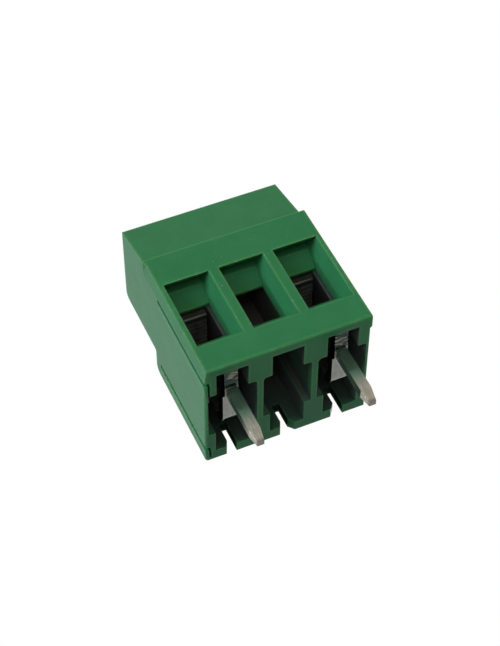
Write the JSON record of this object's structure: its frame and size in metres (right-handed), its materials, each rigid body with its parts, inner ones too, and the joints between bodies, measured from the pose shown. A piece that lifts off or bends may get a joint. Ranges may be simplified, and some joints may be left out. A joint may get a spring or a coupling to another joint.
{
  "type": "pcb terminal block",
  "caption": "Stackable screw terminal block for a circuit board, with a leaning front over tapered wire entries, rising cage clamps in the outer poles and flat solder pins.",
  "frame": {"origin": "on the board plane, midway between the two solder pins", "axes": "+X along the row of poles, wires leave towards -Y, +Z away from the board towards the screws"},
  "size_m": [0.0157, 0.012, 0.0242],
  "materials": {
    "shell_plastic": "satin moulded green polyamide",
    "contact_metal": "matt tin plating",
    "cage_metal": "satin zinc plating",
    "screw_metal": "bright zinc plating"
  },
  "bodies": {
    "shell": {"housing": "shell_plastic", "left_contact": "contact_metal", "right_contact": "contact_metal"},
    "left_cage": {"left_wire_cage": "cage_metal"},
    "left_screw": {"left_clamp_screw": "screw_metal"},
    "right_cage": {"right_wire_cage": "cage_metal"},
    "right_screw": {"right_clamp_screw": "screw_metal"}
  },
  "joints": [
    {"name": "left_screw_turn", "type": "hinge", "parent": "shell", "child": "left_screw", "pos_m": [-0.00508, 0.00155, 0], "axis": [0, 0, -1], "range_deg": [0, 1872.1]},
    {"name": "left_cage_rise", "type": "slide", "parent": "shell", "child": "left_cage", "axis": [0, 0, 1], "range_m": [0, 0.0026]},
    {"name": "right_screw_turn", "type": "hinge", "parent": "shell", "child": "right_screw", "pos_m": [0.00508, 0.00155, 0], "axis": [0, 0, -1], "range_deg": [0, 1872.1]},
    {"name": "right_cage_rise", "type": "slide", "parent": "shell", "child": "right_cage", "axis": [0, 0, 1], "range_m": [0, 0.0026]}
  ],
  "couplings": [
    {"joint": "left_screw_turn", "follows": "left_cage_rise", "rad_per_m": 12566},
    {"joint": "right_screw_turn", "follows": "right_cage_rise", "rad_per_m": 12566}
  ]
}
